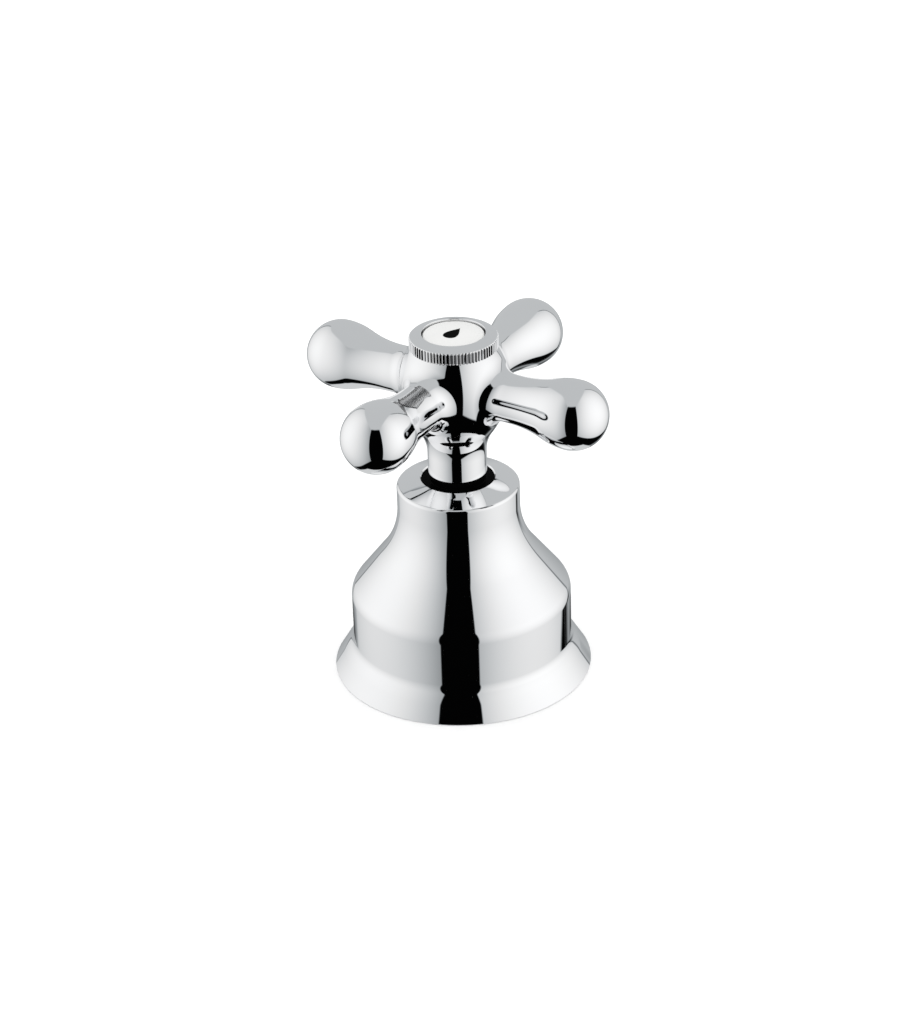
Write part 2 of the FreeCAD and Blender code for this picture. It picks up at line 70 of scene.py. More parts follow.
def straight(start, end, hold=0.2, mostShare=0.25):
    # a line with a point close to each end, which keeps the shading flat in between
    share = min(hold / math.dist(start, end), mostShare)
    return [(start[0] + (end[0] - start[0]) * t, start[1] + (end[1] - start[1]) * t)
            for t in (0, share, 1 - share, 1)]


def joined(*runs):
    # one outline from several runs, with the points that two runs share left out
    outline = []
    for run in runs:
        for point in run:
            if not outline or math.dist(point, outline[-1]) > samePoint:
                outline.append(point)
    return outline


def finishMesh(piece, closeWithin=mergeDistance, sharpAngle=32):
    # closes seams and poles, turns the faces outwards and shades the piece
    bpy.ops.mesh.select_all(action="SELECT")
    bpy.ops.mesh.remove_doubles(threshold=closeWithin * mm)
    bpy.ops.mesh.normals_make_consistent(inside=False)
    bpy.ops.object.mode_set(mode="OBJECT")
    bpy.ops.object.shade_smooth_by_angle(angle=math.radians(sharpAngle))
    return piece


def lathe(name, outline, steps):
    # a closed outline of (radius, height), drawn point by point and spun about the tap's axis
    deselectAll()
    bpy.ops.mesh.primitive_plane_add(size=2 * mm)
    piece = newest(name)
    bpy.ops.object.mode_set(mode="EDIT")
    bpy.ops.mesh.merge(type="CENTER")
    bpy.ops.transform.translate(value=(outline[0][0] * mm, 0, outline[0][1] * mm))
    closing = outline[:1] if outline[0][0] > 0 else []  # an outline that ends on the axis stays open
    for here, there in zip(outline, outline[1:] + closing):
        move = ((there[0] - here[0]) * mm, 0, (there[1] - here[1]) * mm)
        bpy.ops.mesh.extrude_vertices_move(TRANSFORM_OT_translate={"value": move})
    bpy.ops.mesh.select_all(action="SELECT")
    bpy.ops.mesh.remove_doubles(threshold=mergeDistance * mm)
    bpy.ops.mesh.select_all(action="SELECT")
    bpy.ops.mesh.spin(steps=steps, angle=2 * math.pi, center=(0, 0, 0), axis=(0, 0, 1))
    return finishMesh(piece)


def selectOnly(piece, isWanted, kind="edges"):
    # selects the edges, vertices or faces that pass a test, and nothing else
    bpy.ops.mesh.select_all(action="DESELECT")
    mesh = bmesh.from_edit_mesh(piece.data)
    for element in getattr(mesh, kind):
        if isWanted(element):
            element.select = True
    bmesh.update_edit_mesh(piece.data)


def placeSelected(piece, place):
    # moves each selected vertex to where place puts it
    mesh = bmesh.from_edit_mesh(piece.data)
    for vertex in mesh.verts:
        if vertex.select:
            vertex.co = place(vertex.co)
    bmesh.update_edit_mesh(piece.data)


def dress(piece, body, material, slot, *nodes):
    # the piece rides on a body, takes its finish and stands for these CAD nodes
    piece.data.materials.clear()
    piece.data.materials.append(material)
    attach(piece, body)
    if nodes:
        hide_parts(*nodes)


def newMaterial(name):
    material = bpy.data.materials.new(name)
    material.use_nodes = True
    shader = material.node_tree.nodes["Principled BSDF"]
    return material, material.node_tree, shader


def addNode(tree, kind, **settings):
    node = tree.nodes.new(kind)
    for key, value in settings.items():
        setattr(node, key, value)
    return node


def objectPattern(tree, scale, stretch=(1, 1, 1), detail=4):
    # a noise on the object's own coordinates; scale counts features per metre
    place = addNode(tree, "ShaderNodeTexCoord")
    mapping = addNode(tree, "ShaderNodeMapping")
    mapping.inputs["Scale"].default_value = stretch
    noise = addNode(tree, "ShaderNodeTexNoise")
    noise.inputs["Scale"].default_value = scale
    noise.inputs["Detail"].default_value = detail
    tree.links.new(place.outputs["Object"], mapping.inputs["Vector"])
    tree.links.new(mapping.outputs["Vector"], noise.inputs["Vector"])
    return noise


def mapRange(tree, source, fromLow, fromHigh, toLow=0, toHigh=1, **settings):
    # one range of a value stretched to another
    span = addNode(tree, "ShaderNodeMapRange", **settings)
    ends = {"From Min": fromLow, "From Max": fromHigh, "To Min": toLow, "To Max": toHigh}
    for end, value in ends.items():
        span.inputs[end].default_value = value
    tree.links.new(source, span.inputs["Value"])
    return span.outputs["Result"]


def darkenGrooves(tree, colour, shader, root, tip, top, shadow):
    # shadow in the bottoms of a knurl, by distance from the object's axis, below a height
    place = addNode(tree, "ShaderNodeTexCoord")
    parts = addNode(tree, "ShaderNodeSeparateXYZ")
    level = addNode(tree, "ShaderNodeVectorMath", operation="MULTIPLY")
    level.inputs[1].default_value = (1, 1, 0)
    reach = addNode(tree, "ShaderNodeVectorMath", operation="LENGTH")
    above = addNode(tree, "ShaderNodeMath", operation="GREATER_THAN")
    above.inputs[1].default_value = top * mm
    lit = addNode(tree, "ShaderNodeMath", operation="MAXIMUM")
    shade = addNode(tree, "ShaderNodeMix", data_type="RGBA", blend_type="MIX")
    shade.inputs["A"].default_value = (*shadow, 1)
    tree.links.new(place.outputs["Object"], level.inputs[0])
    tree.links.new(level.outputs["Vector"], reach.inputs[0])
    openness = mapRange(tree, reach.outputs["Value"], root * mm, tip * mm, interpolation_type="SMOOTHSTEP")
    tree.links.new(place.outputs["Object"], parts.inputs["Vector"])
    tree.links.new(parts.outputs["Z"], above.inputs[0])
    tree.links.new(openness, lit.inputs[0])
    tree.links.new(above.outputs["Value"], lit.inputs[1])
    tree.links.new(lit.outputs["Value"], shade.inputs["Factor"])
    tree.links.new(colour.outputs["Color"], shade.inputs["B"])
    tree.links.new(shade.outputs["Result"], shader.inputs["Base Color"])


def finish(name, values):
    # one finish: colour that varies a little, painted shadow in a knurl's grooves where it has them,
    # roughness that varies, and a fine bump where it has one
    material, tree, shader = newMaterial(name)
    shader.inputs["Metallic"].default_value = values.get("metallic", 0)
    shader.inputs["IOR"].default_value = values.get("ior", 1.5)
    shader.inputs["Coat Weight"].default_value = values.get("coat", 0)
    patches = objectPattern(tree, values["patchScale"])
    ramp = addNode(tree, "ShaderNodeValToRGB")
    for stop, position, shade in zip(ramp.color_ramp.elements, noiseMiddle, ("dark", "light")):
        stop.position = position
        stop.color = (*values[shade], 1)
    tree.links.new(patches.outputs["Fac"], ramp.inputs["Fac"])
    tree.links.new(ramp.outputs["Color"], shader.inputs["Base Color"])
    if "grooves" in values:
        darkenGrooves(tree, ramp, shader, **values["grooves"])
    wear = objectPattern(tree, values["wearScale"], detail=6)
    roughness = mapRange(tree, wear.outputs["Fac"], *noiseMiddle, *values["roughness"])
    tree.links.new(roughness, shader.inputs["Roughness"])
    if "bump" in values:
        grain = objectPattern(tree, values["grainScale"], values.get("grainStretch", (1, 1, 1)), detail=3)
        bump = addNode(tree, "ShaderNodeBump")
        bump.inputs["Strength"].default_value = 1
        bump.inputs["Distance"].default_value = values["bump"] * mm
        tree.links.new(grain.outputs["Fac"], bump.inputs["Height"])
        tree.links.new(bump.outputs["Normal"], shader.inputs["Normal"])
    return material


chromeLook = {
    "metallic": 1, "dark": (0.88, 0.885, 0.895), "light": (0.9, 0.905, 0.91), "patchScale": 60,
    "roughness": (0.018, 0.032), "wearScale": 500,
}
# painted shadow for the knurled ring: its chrome colour darkened close to the axis, in the grooves' bottoms,
# below the knurl's top
knurlGrooveShadow = {"root": 9.84, "tip": 10.02, "top": 83.6, "shadow": (0.16, 0.16, 0.165)}
polishedChrome = finish("polished_chrome", chromeLook)
knurledChrome = finish("knurled_chrome", {**chromeLook, "grooves": knurlGrooveShadow})
turnedBrass = finish("turned_brass", {
    "metallic": 1, "dark": (0.62, 0.43, 0.16), "light": (0.78, 0.58, 0.27), "patchScale": 90,
    "roughness": (0.2, 0.36), "wearScale": 700,
    "bump": 0.012, "grainScale": 300, "grainStretch": (0.15, 0.15, 9)})
groundSteel = finish("ground_steel", {
    "metallic": 1, "dark": (0.46, 0.46, 0.47), "light": (0.6, 0.6, 0.6), "patchScale": 120,
    "roughness": (0.22, 0.38), "wearScale": 900,
    "bump": 0.008, "grainScale": 400, "grainStretch": (0.2, 0.2, 8)})
blackRubber = finish("black_rubber", {
    "dark": (0.012, 0.012, 0.013), "light": (0.024, 0.024, 0.025), "patchScale": 200,
    "roughness": (0.55, 0.75), "wearScale": 1200, "bump": 0.015, "grainScale": 2500})
blackPlastic = finish("black_plastic", {
    "dark": (0.001, 0.001, 0.001), "light": (0.002, 0.002, 0.002), "patchScale": 150, "ior": 1.05,
    "roughness": (0.22, 0.32), "wearScale": 900, "bump": 0.006, "grainScale": 3000})
whitePlastic = finish("white_plastic", {
    "dark": (0.72, 0.71, 0.68), "light": (0.8, 0.79, 0.77), "patchScale": 150,
    "roughness": (0.35, 0.5), "wearScale": 900, "bump": 0.006, "grainScale": 2500})
groundCeramic = finish("ground_ceramic", {
    "dark": (0.66, 0.62, 0.55), "light": (0.76, 0.73, 0.67), "patchScale": 180,
    "roughness": (0.12, 0.25), "wearScale": 1500, "bump": 0.002, "grainScale": 4000})
glazedPorcelain = finish("glazed_porcelain", {
    "dark": (0.71, 0.71, 0.7), "light": (0.74, 0.74, 0.73), "patchScale": 120, "coat": 0.3,
    "roughness": (0.16, 0.24), "wearScale": 300, "bump": 0.004, "grainScale": 500})
firedEnamel = finish("fired_enamel", {
    "dark": (0.001, 0.001, 0.001), "light": (0.002, 0.002, 0.002), "patchScale": 300, "ior": 1.05,
    "roughness": (0.2, 0.3), "wearScale": 600, "bump": 0.004, "grainScale": 900})
print("materials made")


bell = {
    "footRadius": 30.0, "footEdge": 0.2, "flareLean": 31.2, "bendHeight": 3.9, "bendRounding": 14.0,
    "coveRounding": 3.0, "bandRadius": 25.5, "shoulderRounding": 4.0, "shoulderHeight": 19.9,
    "coneLean": 37.8, "neckCove": 20.0, "neckRadius": 14.1,
    "height": 48.6, "rimRounding": 0.8, "crownSlope": 18.3,
    "mouthRadius": 8.4, "mouthEdge": 0.25, "mouthEdgeDrop": 0.375,
    "wall": 1.8, "ceiling": 45.2, "neckThreadRadius": 12.0, "neckThreadBottom": 35.5,
    "gasketRecess": 27.4, "gasketLedge": 24.95, "gasketHeight": 1.6, "ledgeClearance": 0.3,
    "steps": 288, "arcStep": 2.0, "rimArcStep": 6.0,
}


def bellSide(inset):
    # the bell's side from the foot up to the neck, moved inwards by inset
    b = bell
    flare = math.radians(b["flareLean"])
    outward = (math.cos(flare), math.sin(flare))
    rise = b["bendHeight"] - b["footEdge"]
    foot = (b["footRadius"] - inset * outward[0], b["footEdge"] - inset * outward[1])
    bendCentre = (b["footRadius"] - rise * math.tan(flare) - b["bendRounding"] * outward[0],
                  b["bendHeight"] - b["bendRounding"] * outward[1])
    coveSide = b["bandRadius"] + b["coveRounding"]
    bothRoundings = b["bendRounding"] + b["coveRounding"]
    coveCentre = (coveSide, bendCentre[1] + math.sqrt(bothRoundings ** 2 - (coveSide - bendCentre[0]) ** 2))
    bendEnd = math.degrees(math.acos((coveSide - bendCentre[0]) / bothRoundings))
    lean = math.radians(b["coneLean"])
    halfLean = math.tan(lean / 2)
    shoulderCentre = (b["bandRadius"] - b["shoulderRounding"],
                      b["shoulderHeight"] - b["shoulderRounding"] * halfLean)
    sharpNeck = b["shoulderHeight"] + (b["bandRadius"] - b["neckRadius"]) / math.tan(lean)
    neckCentre = (b["neckRadius"] + b["neckCove"], sharpNeck + b["neckCove"] * halfLean)
    bendArc = arcPoints(bendCentre, b["bendRounding"] - inset, b["flareLean"], bendEnd, b["arcStep"] / 2)
    coveArc = arcPoints(coveCentre, b["coveRounding"] + inset, 180 + bendEnd, 180, b["arcStep"])
    shoulderArc = arcPoints(shoulderCentre, b["shoulderRounding"] - inset, 0, b["coneLean"], b["arcStep"])
    neckArc = arcPoints(neckCentre, b["neckCove"] + inset, 180 + b["coneLean"], 180, b["arcStep"] / 2)
    return joined(straight(foot, bendArc[0]), bendArc, coveArc, straight(coveArc[-1], shoulderArc[0]),
                  shoulderArc, straight(shoulderArc[-1], neckArc[0]), neckArc)


def makeBell():
    b = bell
    outside = bellSide(0)
    crown = math.radians(b["crownSlope"])
    rimRadius = b["neckRadius"] - b["rimRounding"]
    rimHeight = (b["height"] - (rimRadius - b["mouthRadius"]) * math.tan(crown)
                 - b["rimRounding"] / math.cos(crown))
    rim = arcPoints((rimRadius, rimHeight), b["rimRounding"], 0, 90 - b["crownSlope"], b["rimArcStep"])
    mouth = (b["mouthRadius"] + b["mouthEdge"], b["height"] - b["mouthEdge"] * math.tan(crown))
    ledgeTop = b["gasketHeight"] + b["wall"]
    inside = [point for point in bellSide(b["wall"])
              if ledgeTop + b["ledgeClearance"] < point[1] < b["neckThreadBottom"]]
    outline = joined(
        [(b["footRadius"] - b["footEdge"], 0)],
        outside,
        straight(outside[-1], rim[0]), rim,
        straight(rim[-1], mouth),
        [(b["mouthRadius"], b["height"] - b["mouthEdgeDrop"]), (b["mouthRadius"], b["ceiling"])],
        [(b["neckThreadRadius"], b["ceiling"]), (b["neckThreadRadius"], b["neckThreadBottom"])],
        [(inside[-1][0], b["neckThreadBottom"])],
        inside[::-1],
        [(inside[0][0], ledgeTop), (b["gasketLedge"], ledgeTop), (b["gasketLedge"], b["gasketHeight"])],
        [(b["gasketRecess"], b["gasketHeight"]), (b["gasketRecess"], 0)],
    )
    piece = lathe("bell", outline, b["steps"])
    dress(piece, "tap_body", polishedChrome, "chrome_plate", "bell_escutcheon")


makeBell()
print("bell escutcheon made")


# the black ring in the bell's mouth, which the handle's skirt turns in
guideBush = {
    "flangeRadius": 11.4, "flangeBottom": 44.0, "flangeTop": 45.2, "spigotRadius": 8.35, "spigotTop": 48.0,
    "collarRadius": 6.3, "collarTop": 49.7, "boreRadius": 4.58, "rounding": 0.25,
    "steps": 96, "arcStep": 15.0,
}


def makeGuideBush():
    g = guideBush
    r = g["rounding"]

    def edge(radius, height, first, last):
        return arcPoints((radius, height), r, first, last, g["arcStep"])

    outline = joined(
        [(g["boreRadius"], g["flangeBottom"]), (g["flangeRadius"] - r, g["flangeBottom"])],
        edge(g["flangeRadius"] - r, g["flangeBottom"] + r, 270, 360),
        edge(g["flangeRadius"] - r, g["flangeTop"] - r, 0, 90),
        [(g["spigotRadius"], g["flangeTop"])],
        edge(g["spigotRadius"] - r, g["spigotTop"] - r, 0, 90),
        edge(g["collarRadius"] + r, g["spigotTop"] + r, 270, 180),
        edge(g["collarRadius"] - r, g["collarTop"] - r, 0, 90),
        [(g["boreRadius"], g["collarTop"])],
    )
    piece = lathe("guide_ring", outline, g["steps"])
    dress(piece, "tap_body", blackPlastic, "black_plastic", "guide_bush")


makeGuideBush()
print("guide ring made")


crossHandle = {
    "skirtFoot": 50.0, "skirtRadius": 6.75, "skirtStraight": 5.0, "skirtEdge": 0.2,
    "bellyRadius": 12.5, "bellyHeight": 73.0, "underBellyRounding": 21.0,
    "topRadius": 9.7, "topHeight": 81.3,
    "quadrantBottom": 63.0,  # below this the hub is drawn as plain rings
    "armHeight": 71.9, "neckRadius": 5.5, "endRadius": 7.95, "endDistance": 31.2,
    "swellRadius": 18.0, "coveRadius": 29.0, "rootFillet": 5.0,
    "skirtBore": 5.2, "insertBottom": 58.0, "insertRadius": 5.6, "webBottom": 68.0, "screwHole": 2.55,
    "webTop": 70.5, "wellRadius": 5.5, "threadBottom": 75.8, "threadRadius": 8.0,
    "sealMouth": 8.95, "sealBottom": 80.2,
    "topDivisions": 28, "sideDivisions": 36, "rayReach": 12.0,
    "tipDivisions": 24, "swellDivisions": 12, "coveDivisions": 15, "filletDivisions": 10, "hubDivisions": 14,
    "arcStep": 3.0, "edgeArcStep": 15.0, "seam": 0.001, "ringMargin": 0.01,
}


def bellyCurve():
    # rounding of the hub above its widest place, an arc that ends at the top's edge
    h = crossHandle
    step, drop = h["bellyRadius"] - h["topRadius"], h["topHeight"] - h["bellyHeight"]
    return (step ** 2 + drop ** 2) / (2 * step)


def flareCurve():
    # how far the flare turns, its radius, and the height where it runs into the skirt
    h = crossHandle
    skirtTop = h["skirtFoot"] + h["skirtStraight"]
    step, rise = h["bellyRadius"] - h["skirtRadius"], h["bellyHeight"] - skirtTop
    bothRadii = (step ** 2 + rise ** 2) / (2 * step)
    return math.degrees(math.asin(rise / bothRadii)), bothRadii - h["underBellyRounding"], skirtTop


def hubRadiusAt(height):
    h = crossHandle
    rounding = bellyCurve() if height > h["bellyHeight"] else h["underBellyRounding"]
    return h["bellyRadius"] - rounding + math.sqrt(rounding ** 2 - (height - h["bellyHeight"]) ** 2)


def armOutline():
    # the arm from its tip to its neck, as (distance from the tap's axis, radius about the arm's own axis)
    h = crossHandle
    swellDrop = h["endRadius"] - h["swellRadius"]
    coveHeight = h["neckRadius"] + h["coveRadius"]
    reach = math.sqrt((h["swellRadius"] + h["coveRadius"]) ** 2 - (coveHeight - swellDrop) ** 2)
    turn = math.degrees(math.atan2(coveHeight - swellDrop, -reach))
    end = h["endDistance"]
    return joined(
        evenArc((end, 0), h["endRadius"], 0, 90, h["tipDivisions"]),
        evenArc((end, swellDrop), h["swellRadius"], 90, turn, h["swellDivisions"]),
        evenArc((end - reach, coveHeight), h["coveRadius"], turn + 180, 270, h["coveDivisions"]),
    )


def rayAngles():
    # angles about the arm's axis, spaced so that the hub's top and bottom rings come out even
    h = crossHandle
    azimuths = [math.radians(-45 + 90 * i / h["topDivisions"]) for i in range(h["topDivisions"] + 1)]
    low, high = h["quadrantBottom"] - h["armHeight"], h["topHeight"] - h["armHeight"]
    lowRadius = hubRadiusAt(h["quadrantBottom"])
    top = [math.atan2(high, h["topRadius"] * math.sin(a)) for a in azimuths[::-1]]
    bottom = [math.atan2(low, lowRadius * math.sin(a)) for a in azimuths]

    def between(first, last):
        return [first + (last - first) * i / h["sideDivisions"] for i in range(1, h["sideDivisions"])]

    right = between(bottom[-1], top[0])
    left = between(top[-1], bottom[0] + 2 * math.pi)
    return top + left + bottom + right


def lastPlace(low, high, holds):
    # the last place between low and high where a test still holds
    for halving in range(halvings):
        middle = (low + high) / 2
        if holds(middle):
            low = middle
        else:
            high = middle
    return low


def hubRay(angle):
    # one ray of the surface in the half plane at this angle about the arm's axis, as (distance, radius):
    # the root fillet, then the hub as far as its quadrant goes
    h = crossHandle
    side, rise = math.cos(angle), math.sin(angle)
    tiny = 1e-6

    def hubAt(radius):
        return math.sqrt(hubRadiusAt(h["armHeight"] + radius * rise) ** 2 - (radius * side) ** 2)

    def slopeAt(radius, step=1e-4):
        return (hubAt(radius + step) - hubAt(radius - step)) / (2 * step)

    fillet = h["rootFillet"]
    filletTop = h["neckRadius"] + fillet

    def isUnderFillet(radius):
        slope = slopeAt(radius)
        return radius - fillet * slope / math.hypot(1, slope) < filletTop

    touch = lastPlace(h["neckRadius"], filletTop, isUnderFillet)
    slope = slopeAt(touch)
    centre = (hubAt(touch) + fillet / math.hypot(1, slope), filletTop)
    last = math.degrees(math.atan2(slope, -1)) % 360
    root = evenArc(centre, fillet, 270, last, h["filletDivisions"])

    def isOnThisSide(radius):
        # short of the plane halfway to the next arm
        height = min(h["armHeight"] + radius * rise, h["topHeight"])
        return hubRadiusAt(max(height, h["quadrantBottom"])) > math.sqrt(2) * radius * abs(side)

    limits = []
    if rise > tiny:
        limits.append((h["topHeight"] - h["armHeight"]) / rise)
    if rise < -tiny:
        limits.append((h["quadrantBottom"] - h["armHeight"]) / rise)
    if abs(side) > tiny:
        limits.append(lastPlace(touch, h["rayReach"], isOnThisSide))
    reach = min(limits) - touch
    hub = [touch + reach * i / h["hubDivisions"] for i in range(1, h["hubDivisions"] + 1)]
    return root + [(hubAt(radius), radius) for radius in hub]


def angleAboutArm(co):
    return math.atan2(co.z - crossHandle["armHeight"] * mm, co.y)


def armPoint(ray, station, angle):
    # where a point of a ray lies, on the arm along +X
    distance, radius = ray[station]
    return Vector((distance, radius * math.cos(angle),
                   crossHandle["armHeight"] + radius * math.sin(angle))) * mm


def makeArm(name, rays, angles):
    # one arm with its quarter of the hub, extruded from the tip inwards
    tip, firstRing = rays[0][0], rays[0][1]
    fullTurn = 2 * math.pi
    deselectAll()
    bpy.ops.mesh.primitive_circle_add(vertices=len(rays), radius=firstRing[1] * mm, fill_type="TRIFAN",
                                      location=(firstRing[0] * mm, 0, crossHandle["armHeight"] * mm),
                                      rotation=(0, math.pi / 2, 0))
    piece = newest(name)
    bpy.ops.object.transform_apply(location=True, rotation=True, scale=True)
    bpy.ops.object.mode_set(mode="EDIT")
    mesh = bmesh.from_edit_mesh(piece.data)
    rim = sorted((v for v in mesh.verts if v.is_boundary), key=lambda v: angleAboutArm(v.co) % fullTurn)
    order = sorted(range(len(angles)), key=lambda i: angles[i] % fullTurn)
    for vertex in mesh.verts:
        if not vertex.is_boundary:
            vertex.co = Vector((tip[0], 0, crossHandle["armHeight"])) * mm
    for vertex, i in zip(rim, order):
        vertex.co = armPoint(rays[i], 1, angles[i])

    def onRay(co, station):
        here = angleAboutArm(co)
        nearest = min(range(len(angles)),
                      key=lambda i: abs((angles[i] - here + math.pi) % fullTurn - math.pi))
        return armPoint(rays[nearest], station, angles[nearest])

    selectOnly(piece, lambda edge: edge.is_boundary)
    for station in range(2, len(rays[0])):
        bpy.ops.mesh.extrude_region_move(TRANSFORM_OT_translate={"value": (0, 0, 0)})
        placeSelected(piece, lambda co: onRay(co, station))
    return piece


def drawSkirt(piece):
    # the hub below its quadrants, the skirt and the hollow inside, ring by ring and up to the top again
    h = crossHandle
    flareTurn, flareRadius, skirtTop = flareCurve()
    rounding = h["underBellyRounding"]
    firstTurn = math.degrees(math.asin((h["quadrantBottom"] - h["bellyHeight"]) / rounding))
    edge = h["skirtEdge"]
    edgeHeight = h["skirtFoot"] + edge
    downAndIn = joined(
        arcPoints((h["bellyRadius"] - rounding, h["bellyHeight"]), rounding,
                  firstTurn, -flareTurn, h["arcStep"] / 2),
        arcPoints((h["skirtRadius"] + flareRadius, skirtTop), flareRadius,
                  180 - flareTurn, 180, h["arcStep"]),
        straight((h["skirtRadius"], skirtTop), (h["skirtRadius"], edgeHeight)),
        arcPoints((h["skirtRadius"] - edge, edgeHeight), edge, 360, 270, h["edgeArcStep"]),
        arcPoints((h["skirtBore"] + edge, edgeHeight), edge, 270, 180, h["edgeArcStep"]),
        [(h["skirtBore"], h["insertBottom"]), (h["insertRadius"], h["insertBottom"])],
        [(h["insertRadius"], h["webBottom"]), (h["screwHole"], h["webBottom"])],
        [(h["screwHole"], h["webTop"]), (h["wellRadius"], h["webTop"])],
        [(h["wellRadius"], h["threadBottom"]), (h["threadRadius"], h["threadBottom"])],
        [(h["threadRadius"], h["sealBottom"]), (h["sealMouth"], h["sealBottom"])],
        [(h["sealMouth"], h["topHeight"]), (h["topRadius"], h["topHeight"])],
    )
    lowest = (h["quadrantBottom"] + h["ringMargin"]) * mm
    selectOnly(piece, lambda edge: edge.is_boundary and max(v.co.z for v in edge.verts) < lowest)
    for radius, height in downAndIn[1:]:
        bpy.ops.mesh.extrude_region_move(TRANSFORM_OT_translate={"value": (0, 0, 0)})
        placeSelected(piece, lambda co: Vector((*(Vector((co.x, co.y)).normalized() * radius), height)) * mm)


def makeCrossHandle():
    h = crossHandle
    arm = armOutline()
    angles = rayAngles()
    tails = [hubRay(angle) for angle in angles]
    rays = [arm + straight(arm[-1], tail[0])[1:-1] + tail for tail in tails]
    print("cross handle:", len(rays), "rays of", len(rays[0]), "points")
    piece = makeArm("cross_grip", rays, angles)
    bpy.ops.mesh.select_all(action="SELECT")
    for otherArm in range(3):
        bpy.ops.mesh.duplicate_move(TRANSFORM_OT_translate={"value": (0, 0, 0)})
        bpy.ops.transform.rotate(value=math.pi / 2, orient_axis="Z", center_override=(0, 0, 0))
    bpy.ops.mesh.select_all(action="SELECT")
    bpy.ops.mesh.remove_doubles(threshold=h["seam"] * mm)
    drawSkirt(piece)
    finishMesh(piece, h["seam"])
    dress(piece, "handle", polishedChrome, "chrome_plate", "cross_handle")


makeCrossHandle()
print("cross handle made")


indexRing = {
    "radius": 10.1, "bottom": 81.3, "knurlTop": 83.6, "bevel": 0.3, "rise": 0.8,
    "teeth": 79, "toothDepth": 0.32, "toothFlat": 0.2, "pointsPerTooth": 8,
    "holeRadius": 7.2, "holeEdge": 0.25, "seatDepth": 2.7, "floor": 1.2,
    "spigotRadius": 7.95, "spigotWall": 1.6, "spigotBottom": 76.0,
    "arcStep": 15.0, "sharpAngle": 25,
}


def makeIndexRing():
    ring = indexRing
    rim = ring["knurlTop"] + ring["bevel"]
    top = rim + ring["rise"]
    seat = top - ring["seatDepth"]
    inner = ring["spigotRadius"] - ring["spigotWall"]
    bevelInside = ring["radius"] - ring["bevel"]
    holeTop = ring["holeRadius"] + ring["holeEdge"]
    outline = joined(
        [(0, seat - ring["floor"]), (inner, seat - ring["floor"]), (inner, ring["spigotBottom"])],
        [(ring["spigotRadius"], ring["spigotBottom"]), (ring["spigotRadius"], ring["bottom"])],
        [(ring["radius"], ring["bottom"]), (ring["radius"], ring["knurlTop"])],
        straight((ring["radius"], ring["knurlTop"]), (bevelInside, rim)),
        straight((bevelInside, rim), (holeTop, top)),
        arcPoints((holeTop, top - ring["holeEdge"]), ring["holeEdge"], 90, 180, ring["arcStep"]),
        [(ring["holeRadius"], seat), (0, seat)],
    )
    piece = lathe("knurled_ring", outline, ring["teeth"] * ring["pointsPerTooth"])
    root = ring["radius"] - ring["toothDepth"]

    def pressed(co):
        # each tooth keeps a narrow flat at its tip and its root
        share = math.atan2(co.y, co.x) / (2 * math.pi) * ring["teeth"] % 1
        height = 1 - (abs(share - 0.5) * 2 - ring["toothFlat"]) / (1 - 2 * ring["toothFlat"])
        reach = (root + ring["toothDepth"] * min(max(height, 0), 1)) * mm
        shrink = min(reach / math.hypot(co.x, co.y), 1)
        return Vector((co.x * shrink, co.y * shrink, co.z))

    bpy.ops.object.mode_set(mode="EDIT")
    selectOnly(piece, lambda vertex: math.hypot(vertex.co.x, vertex.co.y) > root * mm, "verts")
    placeSelected(piece, pressed)
    bpy.ops.object.mode_set(mode="OBJECT")
    bpy.ops.object.shade_smooth_by_angle(angle=math.radians(ring["sharpAngle"]))
    dress(piece, "handle", knurledChrome, "chrome_plate", "index_ring")


makeIndexRing()
print("index ring made")


button = {
    "radius": 6.95, "seat": 82.0, "edgeTop": 84.25, "rounding": 0.35, "dome": 0.25,
    "steps": 160, "domeRings": 24, "arcStep": 10.0,
}


def domeHeight(distance):
    # height of the button's dome at this distance from its middle
    b = button
    flat = b["radius"] - b["rounding"]
    radius = (flat ** 2 + b["dome"] ** 2) / (2 * b["dome"])
    return b["edgeTop"] + b["dome"] - radius + math.sqrt(radius ** 2 - distance ** 2)


def makeButton():
    b = button
    flat = b["radius"] - b["rounding"]
    rings = [flat * (1 - i / b["domeRings"]) for i in range(1, b["domeRings"] + 1)]
    outline = joined(
        [(0, b["seat"]), (b["radius"], b["seat"])],
        arcPoints((flat, b["edgeTop"] - b["rounding"]), b["rounding"], 0, 90, b["arcStep"]),
        [(distance, domeHeight(distance)) for distance in rings],
    )
    piece = lathe("porcelain_button", outline, b["steps"])
    dress(piece, "handle", glazedPorcelain, "porcelain", "index_button")


makeButton()
print("button made")


# a plain water drop fired into the button's glaze, its tip towards one arm
dropMark = {
    "radius": 1.65, "length": 5.6, "taper": 1.5, "lift": 0.02, "depth": 0.12,
    "vertices": 120, "triesPerRadian": 50,
}


def makeDropMark():
    d = dropMark

    def halfWidth(turn):
        # a drop's outline before it is brought to size; its turn is 0 at the tip
        return math.sin(turn) * abs(math.sin(turn / 2)) ** d["taper"]

    tries = [i / d["triesPerRadian"] for i in range(math.ceil(math.pi * d["triesPerRadian"]))]
    widest = max(halfWidth(turn) for turn in tries)

    def onDrop(co):
        turn, reach = math.atan2(co.x, co.y), co.length / mm
        across = d["radius"] / widest * halfWidth(turn) * reach
        along = d["length"] / 2 * math.cos(turn) * reach
        return Vector((across, along, domeHeight(math.hypot(across, along)) + d["lift"])) * mm

    deselectAll()
    bpy.ops.mesh.primitive_circle_add(vertices=d["vertices"], radius=mm, fill_type="TRIFAN")
    piece = newest("drop_mark")
    bpy.ops.object.mode_set(mode="EDIT")
    bpy.ops.mesh.select_all(action="SELECT")
    placeSelected(piece, onDrop)
    bpy.ops.mesh.extrude_region_move(TRANSFORM_OT_translate={"value": (0, 0, -d["depth"] * mm)})
    finishMesh(piece)
    dress(piece, "handle", firedEnamel, "black_plastic")


makeDropMark()
print("drop mark made")


